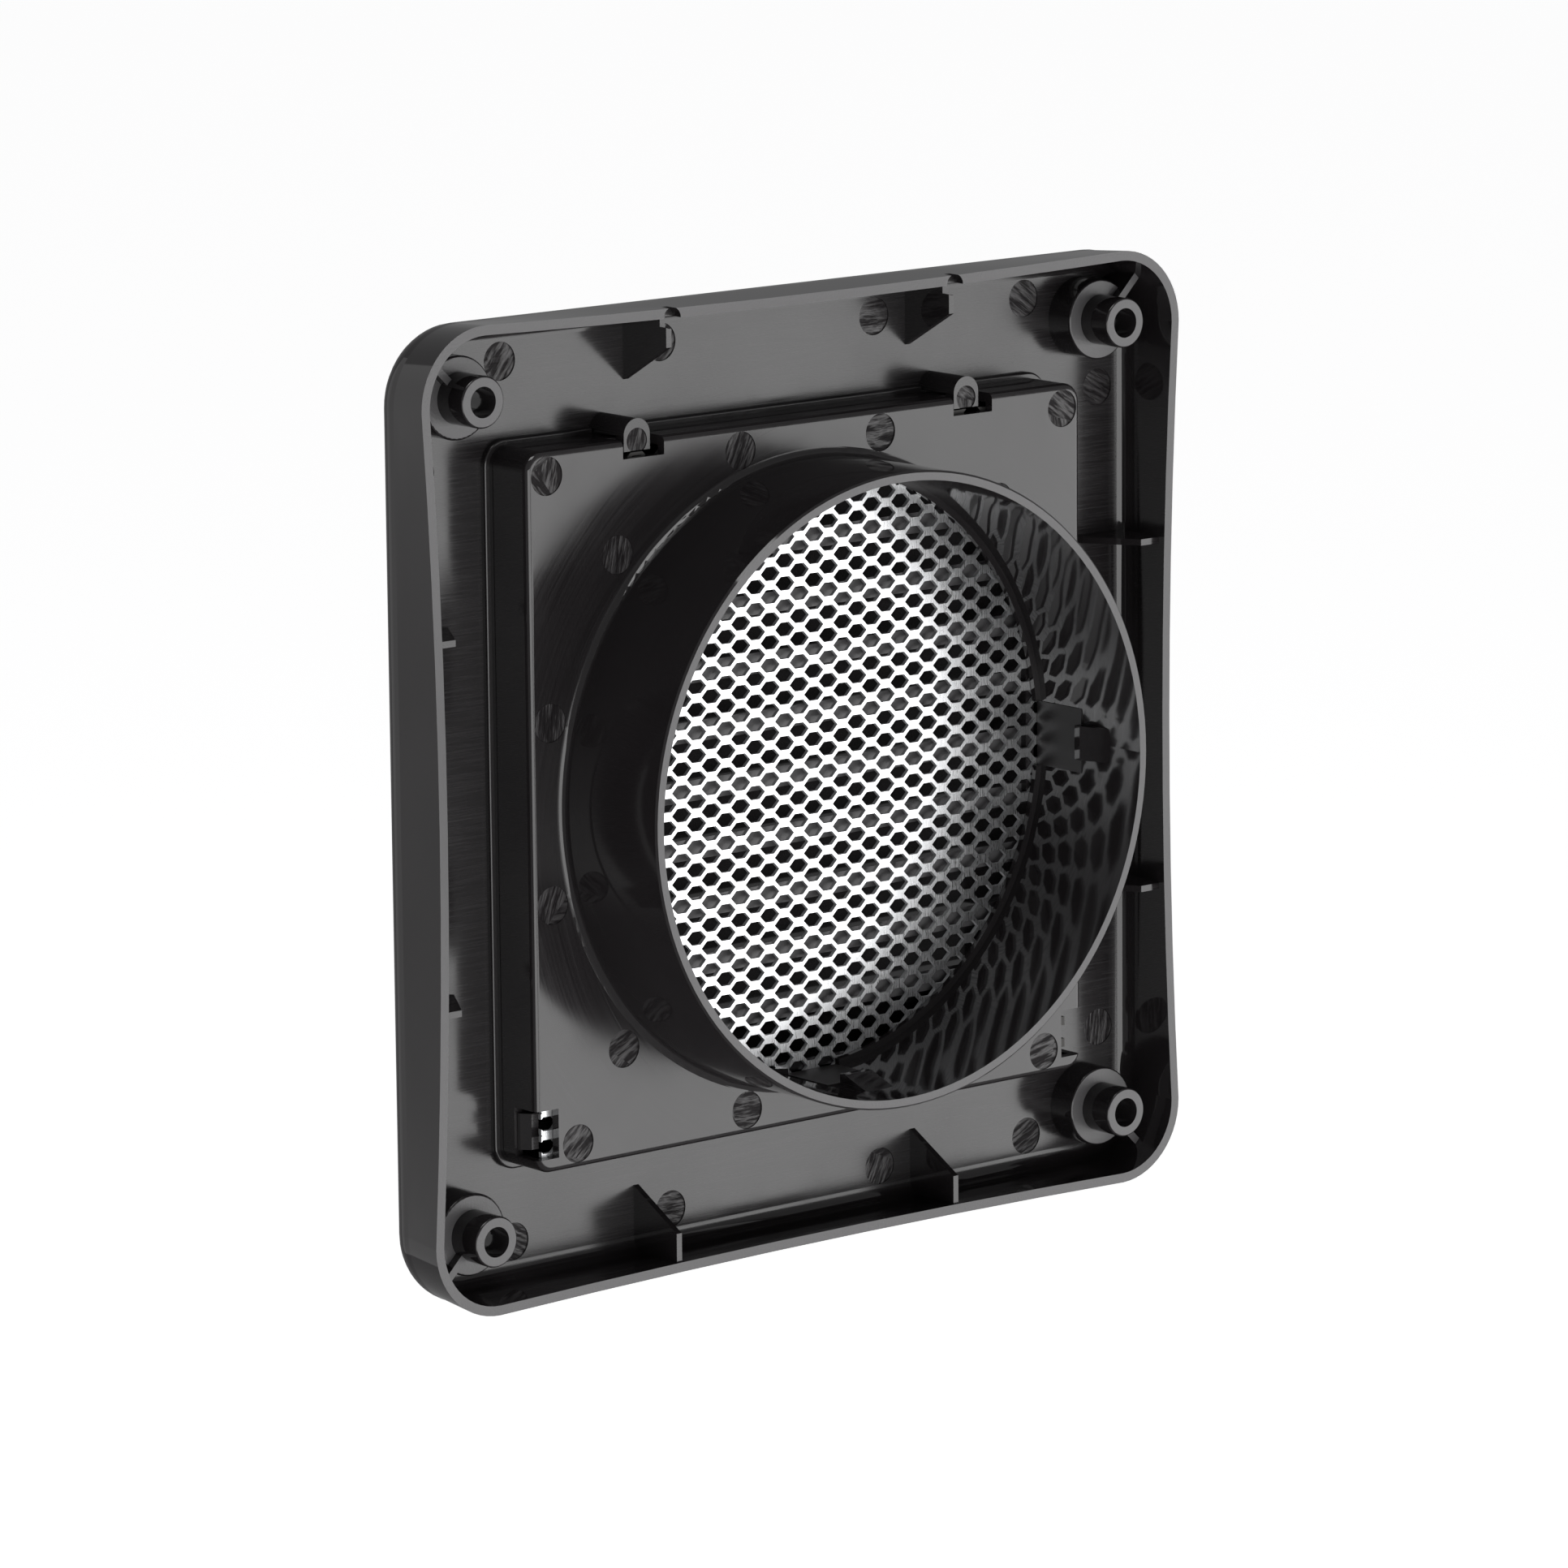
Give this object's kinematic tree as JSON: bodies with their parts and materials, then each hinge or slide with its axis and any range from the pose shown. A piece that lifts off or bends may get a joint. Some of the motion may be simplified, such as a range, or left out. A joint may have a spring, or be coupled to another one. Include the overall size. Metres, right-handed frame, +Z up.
{
  "type": "exterior vent grille",
  "caption": "Square louvred exterior vent cover with a round duct spigot and an insect mesh behind the slats, fixed to a wall by screws through its corner bosses.",
  "frame": {"origin": "on the spigot's axis, in the plane of the skirt's rear edge, which is the wall's surface", "axes": "+Z up; +Y out of the back, along the spigot; the slatted front faces -Y; +X to the right seen from the front"},
  "size_m": [0.15, 0.0337, 0.15],
  "materials": {
    "cover_plastic": "glossy black moulded plastic with fine polishing lines",
    "plate_plastic": "glossy black moulded plastic",
    "mesh_metal": "bare expanded aluminium, bright rolled faces"
  },
  "bodies": {
    "root": {"front_cover": "cover_plastic", "duct_plate": "plate_plastic", "insect_mesh": "mesh_metal"}
  },
  "joints": []
}
